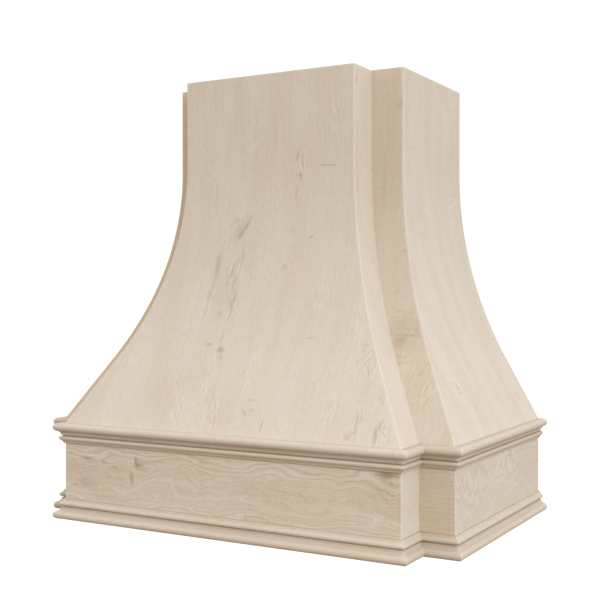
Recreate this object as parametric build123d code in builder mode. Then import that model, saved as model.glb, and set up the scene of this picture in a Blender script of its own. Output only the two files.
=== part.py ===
from build123d import *
import math
import os

os.makedirs("parts", exist_ok=True)

# A wooden range hood cover that hangs on a wall over a cooker and hides the vent insert and its duct.
# In plan it is a breakfront: a centre section stands forward of a recessed strip on each side, and
# the side panels run back to the wall. All of these faces are upright at the top and flare outwards
# by the same amount towards a box-shaped apron, which has a moulding along its top and its bottom.
# Origin: middle of the width, on the wall plane, at the bottom edge. +Y goes into the wall, +Z up.
# Sizes are in millimetres.

# ---- outside shape ----
overall_height = 914.4
top_width = 537.0  # across the two side panels, at the top
top_strip_depth = 309.5  # from the wall to the recessed strips, at the top
step_forward = 77.5  # from the recessed strips to the centre section
strip_width = 69.0
flare_depth = 180.0  # how far every face moves outwards from the top to the apron
flare_radius = 825.0  # radius of the hollow curve
flare_angle = 29.5  # slope of the straight foot below the curve, from upright, in degrees
apron_height = 197.0

# ---- material thicknesses ----
skin_thickness = 12.0  # curved panels of the body
board_thickness = 19.0  # solid boards of the apron
ply_thickness = 18.0  # ribs, rails and ledges inside

# ---- moulding, its members in order from the thin edge to the nose ----
edge_out = 1.5
bevel_height = 1.5
fillet_out = 3.8
fillet_height = 2.2
slope_height = 3.6  # from the fillet up to the bead
bead_out = 5.8  # centre of the bead
bead_radius = 4.3
bead_start_angle = 55.0  # where the slope meets the bead, below level, in degrees
quirk_out = 3.8
quirk_height = 2.1
neck_out = 6.6
neck_height = 2.6
hollow_height = 5.9  # from the neck up to the nose
hollow_depth = 1.1  # of the sloping hollow under the nose, below its chord
nose_out = 11.0  # centre of the nose
nose_radius = 8.0
nose_end_angle = 75.0  # where the nose meets the hollow, below level, in degrees

# ---- ribs and frames inside ----
rib_depth = 44.0
front_rib_spacing = 140.0
top_corner_lap = 26.0  # how far each top side rail lies behind the front one
cross_rail_width = 45.0
liner_rail_width = 45.0
liner_recess = 25.0  # height of the ledge that the vent insert screws to
hanging_rail_height = 100.0
belt_back_height = 60.0
apron_block_leg = 30.0
body_block_leg = 25.0
body_block_length = 120.0

# ---- fasteners ----
screw_radius = 2.1
screw_head_radius = 4.5
screw_length = 45.0
screw_clearance = 0.3  # around the shank, in the rail that it passes through
countersink_angle = 82.0
stud_spacing = 406.4  # wall studs, centre to centre
wall_hole_radius = 3.5
insert_hole_radius = 2.5
insert_hole_inset = 22.5  # from the edge of the apron's inside to the insert's holes
insert_hole_spacing = 300.0  # front to back

# ---- places that follow from those sizes ----
side_face = top_width / 2
return_face = side_face - strip_width
strip_face = top_strip_depth
front_face = top_strip_depth + step_forward
slope = math.radians(flare_angle)
curve_height = (flare_depth - flare_radius + flare_radius / math.cos(slope)) / math.tan(slope)
curve_start = apron_height + curve_height

# inside faces of the body at the top
side_inside = side_face - skin_thickness
return_inside = return_face - skin_thickness
strip_inside = strip_face - skin_thickness
front_inside = front_face - skin_thickness

# inside faces of the apron
apron_side_inside = side_face + flare_depth - board_thickness
apron_return_inside = return_face + flare_depth - board_thickness
apron_strip_inside = strip_face + flare_depth - board_thickness
apron_front_inside = front_face + flare_depth - board_thickness

frame_top = overall_height - ply_thickness
belt_bottom = apron_height - ply_thickness
liner_top = liner_recess + ply_thickness
rib_foot_inside = flare_depth - (skin_thickness + rib_depth) / math.cos(slope)  # out from the top face
rib_foot_middle = flare_depth - (skin_thickness + rib_depth / 2) / math.cos(slope)
bead_start_out = bead_out + bead_radius * math.cos(math.radians(bead_start_angle))
bead_start_drop = bead_radius * math.sin(math.radians(bead_start_angle))
nose_end_out = nose_out + nose_radius * math.cos(math.radians(nose_end_angle))
nose_end_drop = nose_radius * math.sin(math.radians(nose_end_angle))
hollow_width = nose_end_out - neck_out
hollow_chord = math.hypot(hollow_width, hollow_height)
lower_members = bevel_height + fillet_height + slope_height + bead_start_drop + bead_radius
upper_members = quirk_height + neck_height + hollow_height + nose_end_drop + nose_radius
moulding_height = lower_members + upper_members
moulding_projection = nose_out + nose_radius


# ---- planes: x runs outwards from a face as it stands at the top, y runs up ----
def facing_front(face, across=0.0):
    return Plane(origin=(across, -face, 0), x_dir=(0, -1, 0), z_dir=(-1, 0, 0))


def facing_side(face, along=0.0):
    return Plane(origin=(face, along, 0), x_dir=(1, 0, 0), z_dir=(0, -1, 0))


# ---- mitres: upright planes at 45 degrees; each corner flares along its own mitre ----
mitre_inwards = 2 * board_thickness
mitre_outwards = flare_depth + 2 * moulding_projection


def inner_end(corner):
    return (corner[0] - mitre_inwards, corner[1] + mitre_inwards)


def outer_end(corner):
    return (corner[0] + mitre_outwards, corner[1] - mitre_outwards)


def mirrored(point):
    return (-point[0], point[1])


front_corner = (return_face, -front_face)
inner_corner = (return_face, -strip_face)
outer_corner = (side_face, -strip_face)
front_mitre = [inner_end(front_corner), outer_end(front_corner)]
inner_mitre = [inner_end(inner_corner), outer_end(inner_corner)]
outer_mitre = [inner_end(outer_corner), outer_end(outer_corner)]
wall_end = [(side_face - mitre_inwards, 0), (side_face + mitre_outwards, 0)]
front_bay = front_mitre + [mirrored(point) for point in reversed(front_mitre)]
return_bay = front_mitre + inner_mitre[::-1]
strip_bay = inner_mitre + outer_mitre[::-1]
side_bay = outer_mitre + wall_end[::-1]


# ---- profiles ----
def flare_points(inset, foot_height):
    """Start, middle and end of the curve and the foot of the straight below it, set in from the face."""
    radius = flare_radius + inset

    def on_curve(angle):
        return (flare_radius - radius * math.cos(angle), curve_start - radius * math.sin(angle))

    end = on_curve(slope)
    foot = (end[0] + (end[1] - foot_height) * math.tan(slope), foot_height)
    return on_curve(0), on_curve(slope / 2), end, foot


def flared_band(outer_inset, inner_inset, bottom, top):
    """Section of a panel or rib that follows the flare, between two insets from the outer face."""
    start, middle, end, foot = flare_points(outer_inset, bottom)
    inner_start, inner_middle, inner_end_point, inner_foot = flare_points(inner_inset, bottom)
    Line((start[0], top), start)
    ThreePointArc(start, middle, end)
    Line(end, foot)
    Line(foot, inner_foot)
    Line(inner_foot, inner_end_point)
    ThreePointArc(inner_end_point, inner_middle, inner_start)
    Line(inner_start, (inner_start[0], top))
    Line((inner_start[0], top), (start[0], top))


def apron_section():
    """Section of an apron board: upright, from the bottom edge to where the curved panels stand on it."""
    inside = flare_depth - board_thickness
    Polyline((inside, 0), (flare_depth, 0), (flare_depth, apron_height), (inside, apron_height), close=True)


def moulding_section(thin_edge, upwards):
    """Section of the moulding on the apron: bevel, fillet, slope, bead, quirk, neck, hollow and nose."""

    def at(out, height):
        return (flare_depth + out, thin_edge + upwards * height)

    fillet_top = bevel_height + fillet_height
    bead_start = fillet_top + slope_height
    bead_centre = bead_start + bead_start_drop
    quirk = bead_centre + bead_radius
    neck = quirk + quirk_height
    hollow = neck + neck_height
    nose_end = hollow + hollow_height
    nose_centre = nose_end + nose_end_drop
    bead_tip = at(bead_out + bead_radius, bead_centre)
    hollow_middle = at(
        (neck_out + nose_end_out) / 2 - hollow_depth * hollow_height / hollow_chord,
        (hollow + nose_end) / 2 + hollow_depth * hollow_width / hollow_chord,
    )
    nose_tip = at(moulding_projection, nose_centre)
    Polyline(at(0, 0), at(edge_out, 0), at(fillet_out, bevel_height), at(fillet_out, fillet_top))
    Line(at(fillet_out, fillet_top), at(bead_start_out, bead_start))
    ThreePointArc(at(bead_start_out, bead_start), bead_tip, at(bead_out, quirk))
    Polyline(at(bead_out, quirk), at(quirk_out, quirk), at(quirk_out, neck))
    Polyline(at(quirk_out, neck), at(neck_out, neck), at(neck_out, hollow))
    ThreePointArc(at(neck_out, hollow), hollow_middle, at(nose_end_out, nose_end))
    ThreePointArc(at(nose_end_out, nose_end), nose_tip, at(nose_out, moulding_height))
    Polyline(at(nose_out, moulding_height), at(0, moulding_height), at(0, 0))


def upper_moulding_section():
    moulding_section(apron_height - moulding_height, 1)


def lower_moulding_section():
    moulding_section(moulding_height, -1)


def skin_section():
    flared_band(0, skin_thickness, apron_height, overall_height)


def save(part, name):
    part.label = name
    export_step(part, f"parts/{name}.step")


def save_pair(part, name):
    """Writes a right-hand piece and its left-hand mirror image."""
    save(part, f"right_{name}")
    with BuildPart() as left:
        mirror(part, about=Plane.YZ)
    save(left.part, f"left_{name}")


# ---- outside: curved panels, apron boards and mouldings, each cut back to its bay between two mitres ----
run_length = overall_height  # longer than any face is wide
outside_sections = {
    "panel": skin_section,
    "apron_board": apron_section,
    "upper_moulding": upper_moulding_section,
    "lower_moulding": lower_moulding_section,
}
bays = {
    "front": (facing_front(front_face), front_bay),
    "return": (facing_side(return_face), return_bay),
    "strip": (facing_front(strip_face), strip_bay),
    "side": (facing_side(side_face), side_bay),
}

for section_name, draw_section in outside_sections.items():
    for bay_name, (plane, bay) in bays.items():
        with BuildPart() as piece:
            with BuildSketch(plane):
                with BuildLine():
                    draw_section()
                make_face()
            extrude(amount=run_length, both=True)
            with BuildSketch(Plane.XY):
                with BuildLine():
                    Polyline(*bay, close=True)
                make_face()
            extrude(amount=overall_height, mode=Mode.INTERSECT)
        if bay_name == "front":
            save(piece.part, f"front_{section_name}")
        else:
            save_pair(piece.part, f"{bay_name}_{section_name}")


# ---- countersunk screws that hold the ribs between the belt frame and the top frame ----
rib_centre_inset = skin_thickness + rib_depth / 2
front_rib_places = {"left": -front_rib_spacing, "middle": 0.0, "right": front_rib_spacing}
rear_rib_place = -1.5 * ply_thickness  # against the front of the hanging rail
fore_rib_place = -(strip_inside - ply_thickness / 2)  # against the inside of the strip
middle_rib_place = (rear_rib_place + fore_rib_place) / 2
side_rib_places = {"rear": rear_rib_place, "middle": middle_rib_place, "fore": fore_rib_place}

front_top_screws = [(x, -(front_face - rib_centre_inset)) for x in front_rib_places.values()]
side_top_screws = [(side_face - rib_centre_inset, y) for y in side_rib_places.values()]
front_belt_screws = [(x, -(front_face + rib_foot_middle)) for x in front_rib_places.values()]
side_belt_screws = [(side_face + rib_foot_middle, y) for y in side_rib_places.values()]

head_height = (screw_head_radius - screw_radius) / math.tan(math.radians(countersink_angle / 2))
pilot_depth = screw_length - ply_thickness


def both_hands(points):
    return points + [mirrored(point) for point in points]


def screws_at(plane, points):
    """Screws driven along a plane's normal backwards, with their heads flush with the plane."""
    with Locations(*[plane.offset(-screw_length / 2) * Pos(*point) for point in points]):
        Cylinder(radius=screw_radius, height=screw_length)
    with Locations(*[plane.offset(-head_height / 2) * Pos(*point) for point in points]):
        Cone(bottom_radius=screw_radius, top_radius=screw_head_radius, height=head_height)


def rail_holes(plane, points):
    """Countersunk clearance holes through a rail, from the side that the screws' heads are on."""
    with Locations(*[plane * Pos(*point) for point in points]):
        CounterSinkHole(
            radius=screw_radius + screw_clearance,
            counter_sink_radius=screw_head_radius,
            depth=ply_thickness,
            counter_sink_angle=countersink_angle,
        )


def pilot_holes(plane, points):
    """Blind holes in a rib's end that the screws bite in."""
    with Locations(*[plane * Pos(*point) for point in points]):
        Hole(radius=screw_radius, depth=pilot_depth)


def from_above(height):
    return Plane.XY.offset(height)


def from_below(height):
    """Looks down: its x is the frame's x, and points are given with the frame's y turned round."""
    return Plane(origin=(0, 0, height), x_dir=(1, 0, 0), z_dir=(0, 0, -1))


def seen_from_below(points):
    return [(x, -y) for x, y in points]


with BuildPart() as top_screws:
    screws_at(from_above(overall_height), front_top_screws + both_hands(side_top_screws))
save(top_screws.part, "top_frame_screws")

with BuildPart() as belt_screws:
    screws_at(from_below(belt_bottom), seen_from_below(front_belt_screws + both_hands(side_belt_screws)))
save(belt_screws.part, "belt_frame_screws")


# ---- ribs: plywood cut to the inside of the curve, standing on the belt frame ----
def rib_section():
    flared_band(skin_thickness, skin_thickness + rib_depth, apron_height, frame_top)


for rib_name, across in front_rib_places.items():
    with BuildPart() as front_rib:
        with BuildSketch(facing_front(front_face, across)):
            with BuildLine():
                rib_section()
            make_face()
        extrude(amount=ply_thickness / 2, both=True)
        pilot_holes(from_above(frame_top), [(across, -(front_face - rib_centre_inset))])
        pilot_holes(from_below(apron_height), [(across, front_face + rib_foot_middle)])
    save(front_rib.part, f"{rib_name}_front_rib")

for rib_name, along in side_rib_places.items():
    with BuildPart() as side_rib:
        with BuildSketch(facing_side(side_face, along)):
            with BuildLine():
                rib_section()
            make_face()
        extrude(amount=ply_thickness / 2, both=True)
        pilot_holes(from_above(frame_top), [(side_face - rib_centre_inset, along)])
        pilot_holes(from_below(apron_height), [(side_face + rib_foot_middle, -along)])
    save_pair(side_rib.part, f"{rib_name}_side_rib")


# ---- frames of flat rails ----
def slab(left, right, front, back, bottom, top):
    """A rail or board from its six faces; front and back are distances from the wall."""
    with Locations(((left + right) / 2, -(front + back) / 2, (bottom + top) / 2)):
        Box(right - left, front - back, top - bottom)


# top frame, round the way for the duct
duct_side = return_inside - top_corner_lap
with BuildPart() as top_front_rail:
    slab(-return_inside, return_inside, front_inside, strip_inside, frame_top, overall_height)
    rail_holes(from_above(overall_height), front_top_screws)
save(top_front_rail.part, "top_front_rail")

with BuildPart() as top_side_rail:
    slab(duct_side, side_inside, strip_inside, ply_thickness, frame_top, overall_height)
    rail_holes(from_above(overall_height), side_top_screws)
save_pair(top_side_rail.part, "top_side_rail")

# belt frame, level with the top of the apron
bump_out_plan = (-apron_return_inside, apron_return_inside, apron_front_inside, apron_strip_inside)
with BuildPart() as belt_front_rail:
    slab(*bump_out_plan, belt_bottom, apron_height)
    rail_holes(from_below(belt_bottom), seen_from_below(front_belt_screws))
save(belt_front_rail.part, "belt_front_rail")

belt_opening = side_face + rib_foot_inside  # the side rails end in line with the ribs' feet
belt_cross_inside = apron_strip_inside - cross_rail_width
with BuildPart() as belt_cross_rail:
    slab(-belt_opening, belt_opening, apron_strip_inside, belt_cross_inside, belt_bottom, apron_height)
save(belt_cross_rail.part, "belt_cross_rail")

with BuildPart() as belt_side_rail:
    slab(belt_opening, apron_side_inside, apron_strip_inside, ply_thickness, belt_bottom, apron_height)
    rail_holes(from_below(belt_bottom), seen_from_below(side_belt_screws))
save_pair(belt_side_rail.part, "belt_side_rail")

belt_back_bottom = apron_height - belt_back_height
with BuildPart() as belt_back_rail:
    slab(-apron_side_inside, apron_side_inside, ply_thickness, 0, belt_back_bottom, apron_height)
save(belt_back_rail.part, "belt_back_rail")

# liner frame, the ledge that the vent insert is screwed up to
with BuildPart() as liner_front_rail:
    slab(*bump_out_plan, liner_recess, liner_top)
save(liner_front_rail.part, "liner_front_rail")

liner_opening = apron_side_inside - liner_rail_width
liner_cross_inside = apron_strip_inside - liner_rail_width
liner_back_inside = ply_thickness + liner_rail_width
with BuildPart() as liner_cross_rail:
    slab(-liner_opening, liner_opening, apron_strip_inside, liner_cross_inside, liner_recess, liner_top)
save(liner_cross_rail.part, "liner_cross_rail")

with BuildPart() as liner_back_rail:
    slab(-liner_opening, liner_opening, liner_back_inside, ply_thickness, liner_recess, liner_top)
save(liner_back_rail.part, "liner_back_rail")

insert_hole_centre = -(liner_cross_inside + liner_back_inside) / 2
with BuildPart() as liner_side_rail:
    slab(liner_opening, apron_side_inside, apron_strip_inside, ply_thickness, liner_recess, liner_top)
    with Locations(Plane(origin=(apron_side_inside - insert_hole_inset, insert_hole_centre, liner_top))):
        with GridLocations(0, insert_hole_spacing, 1, 2):
            Hole(radius=insert_hole_radius, depth=ply_thickness)
save_pair(liner_side_rail.part, "liner_side_rail")


# ---- hanging rails against the wall, with holes for a screw into each of two studs ----
def wall_holes(height):
    with Locations(Plane(origin=(0, 0, height), x_dir=(1, 0, 0), z_dir=(0, 1, 0))):
        with GridLocations(stud_spacing, 0, 2, 1):
            Hole(radius=wall_hole_radius, depth=ply_thickness)


with BuildPart() as upper_hanging_rail:
    slab(-side_inside, side_inside, ply_thickness, 0, overall_height - hanging_rail_height, overall_height)
    wall_holes(overall_height - hanging_rail_height / 2)
save(upper_hanging_rail.part, "upper_hanging_rail")

with BuildPart() as lower_hanging_rail:
    slab(-apron_side_inside, apron_side_inside, ply_thickness, 0, 0, hanging_rail_height)
    wall_holes((liner_top + hanging_rail_height) / 2)
save(lower_hanging_rail.part, "lower_hanging_rail")


# ---- triangular glue blocks in the inside corners ----
def glue_block(corner, leg, towards_wall):
    """Plan of a three-cornered block in a corner of two upright faces on the right."""
    x, y = corner
    return [(x, y), (x - leg, y), (x, y + towards_wall * leg)]


apron_block_plans = [
    glue_block((apron_return_inside, -apron_front_inside), apron_block_leg, 1),
    glue_block((apron_side_inside, -apron_strip_inside), apron_block_leg, 1),
    glue_block((apron_side_inside, -ply_thickness), apron_block_leg, -1),
]
body_block_plans = [glue_block((return_inside, -front_inside), body_block_leg, 1)]

for block_name, plans, bottom, top in (
    ("apron_corner_blocks", apron_block_plans, liner_top, belt_bottom),
    ("body_corner_blocks", body_block_plans, frame_top - body_block_length, frame_top),
):
    with BuildPart() as blocks:
        with BuildSketch(Plane.XY.offset(bottom)):
            for plan in plans + [[mirrored(point) for point in plan] for plan in plans]:
                with BuildLine():
                    Polyline(*plan, close=True)
                make_face()
        extrude(amount=top - bottom)
    save(blocks.part, block_name)
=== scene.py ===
# %% [markdown]
# # A wooden range hood cover in sanded white oak
#
# The real object is a cabinet maker's cover that hangs on a wall over a cooker. A curved veneered
# body stands on a box-shaped apron, and the apron wears a moulding along its top and its bottom edge.
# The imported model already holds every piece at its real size. This script leaves the frame inside as
# it is, builds each outside piece again as a finer surface with worked edges, and gives all of them
# the finish of freshly sanded, unvarnished oak.

import math
from functools import partial

import bpy
import numpy as np
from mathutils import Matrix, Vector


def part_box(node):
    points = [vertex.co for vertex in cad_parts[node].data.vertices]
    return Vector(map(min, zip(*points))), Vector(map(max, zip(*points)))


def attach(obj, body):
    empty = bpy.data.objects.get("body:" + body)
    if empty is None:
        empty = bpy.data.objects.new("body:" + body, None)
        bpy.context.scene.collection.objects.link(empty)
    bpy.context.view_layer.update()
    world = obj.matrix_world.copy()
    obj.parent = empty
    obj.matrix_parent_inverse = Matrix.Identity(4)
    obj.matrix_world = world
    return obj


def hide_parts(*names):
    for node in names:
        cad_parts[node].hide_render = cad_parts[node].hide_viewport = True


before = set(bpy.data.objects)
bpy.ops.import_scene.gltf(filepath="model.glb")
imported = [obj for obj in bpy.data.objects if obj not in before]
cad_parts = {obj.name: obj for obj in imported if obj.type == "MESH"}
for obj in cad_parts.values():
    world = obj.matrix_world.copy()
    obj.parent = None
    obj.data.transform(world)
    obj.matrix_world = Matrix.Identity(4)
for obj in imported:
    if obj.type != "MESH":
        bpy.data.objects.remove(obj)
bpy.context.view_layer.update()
print("CAD nodes:", len(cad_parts))

# %% [markdown]
# ## Sizes
#
# Blender works in metres here, and a cabinet maker thinks in millimetres, so small sizes are written
# as a number times MM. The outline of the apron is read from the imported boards. Only what a box can't
# tell, such as the radius of the flare, is written down as a number.

# %% Sizes from the frame
MM = 0.001
board_low, board_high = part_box("front_apron_board")
strip_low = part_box("right_strip_apron_board")[0]
side_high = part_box("right_side_apron_board")[1]
moulding_low, moulding_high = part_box("front_upper_moulding")

overall_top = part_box("front_panel")[1].z
apron_top = board_high.z
front_face = board_low.y
strip_face = strip_low.y
return_face = board_high.x
side_face = side_high.x
moulding_height = moulding_high.z - moulding_low.z
print(f"apron {2 * side_face / MM:.0f} x {-front_face / MM:.0f} mm, {apron_top / MM:.0f} mm high")

# %% Sizes of the curved body and of the boards
FLARE = 180 * MM  # how far each face moves outwards from the top to the apron
FLARE_RADIUS = 825 * MM
FLARE_SLOPE = math.radians(29.5)  # of the straight foot, from upright
SKIN = 12 * MM
BOARD = 19 * MM
curve_height = (FLARE - FLARE_RADIUS + FLARE_RADIUS / math.cos(FLARE_SLOPE)) / math.tan(FLARE_SLOPE)
curve_start = apron_top + curve_height
print(f"the curve starts {curve_start / MM:.0f} mm up")

# %% [markdown]
# ## Camera
#
# The camera was placed by matching twenty corners of the cover, and it stands a little to the right,
# at half the height of the cover, and looks almost level. The long lens keeps the upright edges
# parallel.

# %% The camera
CAMERA_PLACE = (1.1161, -2.2162, 0.4609)
CAMERA_TILT = math.radians(90 - 0.24)
CAMERA_TURN = math.radians(29.582)
LENS = 62.886
SENSOR = 36.0

lens = bpy.data.cameras.new("camera")
lens.lens = LENS
lens.sensor_width = SENSOR
camera = bpy.data.objects.new("camera", lens)
camera.location = CAMERA_PLACE
camera.rotation_euler = (CAMERA_TILT, 0, CAMERA_TURN)
bpy.context.scene.collection.objects.link(camera)
bpy.context.scene.camera = camera
print(f"field of view {math.degrees(lens.angle):.1f} degrees")

# %% [markdown]
# ## Faces in plan
#
# Seen from above, the cover is a breakfront: the centre stands forward, a return leads back to a
# recessed strip, and a side runs to the wall. Every outside piece belongs to one of these four bays
# and ends at a 45 degree mitre, so one description per bay serves the panel, the board and both
# mouldings. A bay is two corners of the apron, and for each corner the way it moves as the surface
# moves outwards.

# %% The four bays
MITRE = (1, -1)
FRONT_LEFT = (-return_face, front_face)
FRONT_RIGHT = (return_face, front_face)
INNER = (return_face, strip_face)
OUTER = (side_face, strip_face)
AT_WALL = (side_face, 0)


def make_bay(start, start_slide, end, end_slide, outward, eased):
    """Plan of one face. A surface that lies `out` beyond the apron ends at corner + out * slide.

    eased says for each of the two corners whether it is an outside one, whose arris is rounded.
    """
    numbers = [np.array(value, float) for value in (start, start_slide, end, end_slide, outward)]
    names = ("start", "start_slide", "end", "end_slide", "outward")
    bay = dict(zip(names, numbers))
    bay["along"] = (bay["end"] - bay["start"]) / np.linalg.norm(bay["end"] - bay["start"])
    bay["run_axis"] = int(abs(bay["along"][1]) > 0.5)
    bay["eased"] = eased
    return bay


BAYS = {
    "front": make_bay(FRONT_LEFT, (-1, -1), FRONT_RIGHT, MITRE, (0, -1), (1, 1)),
    "return": make_bay(FRONT_RIGHT, MITRE, INNER, MITRE, (1, 0), (1, 0)),
    "strip": make_bay(INNER, MITRE, OUTER, MITRE, (0, -1), (0, 1)),
    "side": make_bay(OUTER, MITRE, AT_WALL, (1, 0), (1, 0), (1, 0)),
}
for name, bay in BAYS.items():
    print(f"{name}: {np.linalg.norm(bay['end'] - bay['start']) / MM:.1f} mm wide at the apron")

# %% [markdown]
# ## Sections
#
# A section is the outline of a piece where a saw would cut it: distance out from the apron's face and
# height. A third number says whether a point is on the show side (1) or on the back (0). Only the
# show side gets rounded mitres, and the number also tells how deep inside the wall a point of an edge
# lies.

# %% Section of a curved panel
ROW = 5 * MM  # spacing of the rows and columns on a show surface
BACK_ROW = 20 * MM


def steps(start, end, spacing):
    """Values from start up to but without end, about spacing apart."""
    return np.linspace(start, end, max(2, round(abs(end - start) / spacing)), endpoint=False)


def flared_side(inset, spacing, show):
    """Down one side of a panel: upright, then an arc, then a straight foot.

    The arc's centre lies outside the cover, at the height where the curve starts. At angle a it gives
    out = radius - flare - (radius + inset) * cos(a) and height = start - (radius + inset) * sin(a).
    """
    radius = FLARE_RADIUS + inset
    angle = steps(0, FLARE_SLOPE, spacing / radius)
    upright = steps(overall_top, curve_start, spacing)
    arc_end = curve_start - radius * math.sin(FLARE_SLOPE)
    foot = np.append(steps(arc_end, apron_top, spacing), apron_top)
    foot_start = FLARE_RADIUS - FLARE - radius * math.cos(FLARE_SLOPE)
    out = np.concatenate([
        np.full(upright.shape, -FLARE - inset),
        FLARE_RADIUS - FLARE - radius * np.cos(angle),
        foot_start + (arc_end - foot) * math.tan(FLARE_SLOPE),
    ])
    height = np.concatenate([upright, curve_start - radius * np.sin(angle), foot])
    return np.stack([out, height, np.full(out.shape, show)], axis=1)


def panel_section():
    """Down the show side and up the back."""
    return np.concatenate([flared_side(0, ROW, 1.0), flared_side(SKIN, BACK_ROW, 0.0)[::-1]])


print("points in a panel's section:", len(panel_section()))

# %% Section of an apron board


def board_section():
    """Straight down the show side and straight up the back."""
    down = np.append(steps(apron_top, 0, ROW), 0)
    up = np.append(steps(0, apron_top, BACK_ROW), apron_top)
    show = np.stack([np.zeros(down.shape), down, np.ones(down.shape)], axis=1)
    back = np.stack([np.full(up.shape, -BOARD), up, np.zeros(up.shape)], axis=1)
    return np.concatenate([show, back])


print("points in a board's section:", len(board_section()))

# %% [markdown]
# ## The moulding
#
# The moulding is a strip run on a spindle moulder: a thin fillet against the board, a slope and a
# bead, then a quirk, a neck and a sloping hollow that ends in a large rounded nose. The upper strip
# carries its nose at the top and the lower strip is the same one upside down. It is drawn from the
# thin edge upwards.

# %% Section of the moulding
EDGE_OUT = 1.5 * MM
BEVEL_HEIGHT = 1.5 * MM
FILLET_OUT = 3.8 * MM
FILLET_HEIGHT = 2.2 * MM
SLOPE_HEIGHT = 3.6 * MM
BEAD_OUT = 5.8 * MM
BEAD_RADIUS = 4.3 * MM
BEAD_START = 55  # degrees below level
QUIRK_OUT = 3.8 * MM
QUIRK_HEIGHT = 2.1 * MM
NECK_OUT = 6.6 * MM
NECK_HEIGHT = 2.6 * MM
HOLLOW_HEIGHT = 5.9 * MM
HOLLOW_DEPTH = 1.1 * MM
NOSE_OUT = 11.0 * MM
NOSE_RADIUS = 8.0 * MM
NOSE_END = 75  # degrees below level
BEAD_POINTS, HOLLOW_POINTS, NOSE_POINTS = 13, 7, 23


def arc(centre, radius, first, last, count):
    """Points on a circle, centre + radius * (cos, sin), from the first to the last angle in degrees."""
    angle = np.radians(np.linspace(first, last, count))
    return np.array(centre) + radius * np.stack([np.cos(angle), np.sin(angle)], axis=1)


def hollow(start, end, depth, count):
    """Points between two ends, sunk below the chord by 4 * depth * t * (1 - t) at the share t of it."""
    share = np.linspace(0, 1, count)[1:-1, None]
    chord = np.array(end) - np.array(start)
    sunk = np.array([-chord[1], chord[0]]) / np.linalg.norm(chord)
    return np.array(start) + chord * share + sunk * 4 * depth * share * (1 - share)


def moulding_members():
    """Distance out and height of the show side, from the thin edge to the top of the nose."""
    slope = BEVEL_HEIGHT + FILLET_HEIGHT
    bead = slope + SLOPE_HEIGHT + BEAD_RADIUS * math.sin(math.radians(BEAD_START))
    quirk = bead + BEAD_RADIUS
    neck = quirk + QUIRK_HEIGHT
    neck_top = (NECK_OUT, neck + NECK_HEIGHT)
    nose_end = neck_top[1] + HOLLOW_HEIGHT
    nose = nose_end + NOSE_RADIUS * math.sin(math.radians(NOSE_END))
    nose_arc = arc((NOSE_OUT, nose), NOSE_RADIUS, -NOSE_END, 90, NOSE_POINTS)
    return np.concatenate([
        [(0, 0), (EDGE_OUT, 0), (FILLET_OUT, BEVEL_HEIGHT), (FILLET_OUT, slope)],
        arc((BEAD_OUT, bead), BEAD_RADIUS, -BEAD_START, 90, BEAD_POINTS),
        [(QUIRK_OUT, quirk), (QUIRK_OUT, neck), (NECK_OUT, neck), neck_top],
        hollow(neck_top, nose_arc[0], HOLLOW_DEPTH, HOLLOW_POINTS),
        nose_arc,
    ])


def moulding_section(thin_edge, upwards):
    """Puts the members at their height, in order down the show side, with two points for the back."""
    members = moulding_members()[::-upwards]
    height = thin_edge + upwards * members[:, 1]
    show = np.stack([members[:, 0], height, np.ones(len(members))], axis=1)
    back = np.array([(0, height.min(), 0), (0, height.max(), 0)])
    return np.concatenate([show[show[:, 0] > 0], back])


def upper_section():
    """Nose at the top, level with the top of the apron."""
    return moulding_section(apron_top - moulding_height, 1)


def lower_section():
    """The same strip upside down, with its nose at the bottom edge."""
    return moulding_section(moulding_height, -1)


stands_out, tall = moulding_members().max(axis=0) / MM
print(f"the moulding stands out {stands_out:.2f} mm and is {tall:.2f} mm high")
print(f"in the frame it is {moulding_height / MM:.2f} mm high")

# %% [markdown]
# ## Eased edges
#
# No wooden edge is knife sharp: a maker breaks each one with a few strokes of fine paper, and the
# small round catches the light. Along the section a sharp corner is swapped for a short curve. Along
# an upright outside corner the two pieces share the round, each one taking its half up to the mitre.

# %% Ease the corners of a section
SHARP = math.radians(28)
JOINT_PART = 5  # a corner at a glued joint is eased by one part in this many
SAME_HEIGHT = 0.01 * MM
LONGEST_CUT = 0.4  # share of a side that its ease may take


def eased(section, reach, joint=None):
    """Bows each sharp corner: a quadratic curve from `reach` before the corner to `reach` after it.

    Its middle point is (before + 2 * corner + after) / 4. Corners that turn little stay one point, and
    those at the height of a glued joint are cut by much less, so that the joint stays closed.
    """
    if joint is not None:
        reach = np.where(np.abs(section[:, 1] - joint) < SAME_HEIGHT, reach / JOINT_PART, reach)
    back = np.roll(section, 1, axis=0) - section
    ahead = np.roll(section, -1, axis=0) - section
    back_length = np.linalg.norm(back[:, :2], axis=1)
    ahead_length = np.linalg.norm(ahead[:, :2], axis=1)
    cosine = -(back[:, :2] * ahead[:, :2]).sum(axis=1) / (back_length * ahead_length)
    sharp = np.arccos(np.clip(cosine, -1, 1)) > SHARP
    cut = np.minimum(reach, LONGEST_CUT * np.minimum(back_length, ahead_length))
    before = section + back * (cut / back_length)[:, None]
    after = section + ahead * (cut / ahead_length)[:, None]
    middle = (before + 2 * section + after) / 4
    choices = np.stack([before, np.where(sharp[:, None], middle, section), after], axis=1)
    wanted = np.stack([sharp, np.ones(sharp.shape, bool), sharp], axis=1)
    return choices[wanted]


print("points in an eased board's section:", len(eased(board_section(), MM)))

# %% Carry a section from one mitre to the other
ARRIS_STEPS = 4


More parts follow.
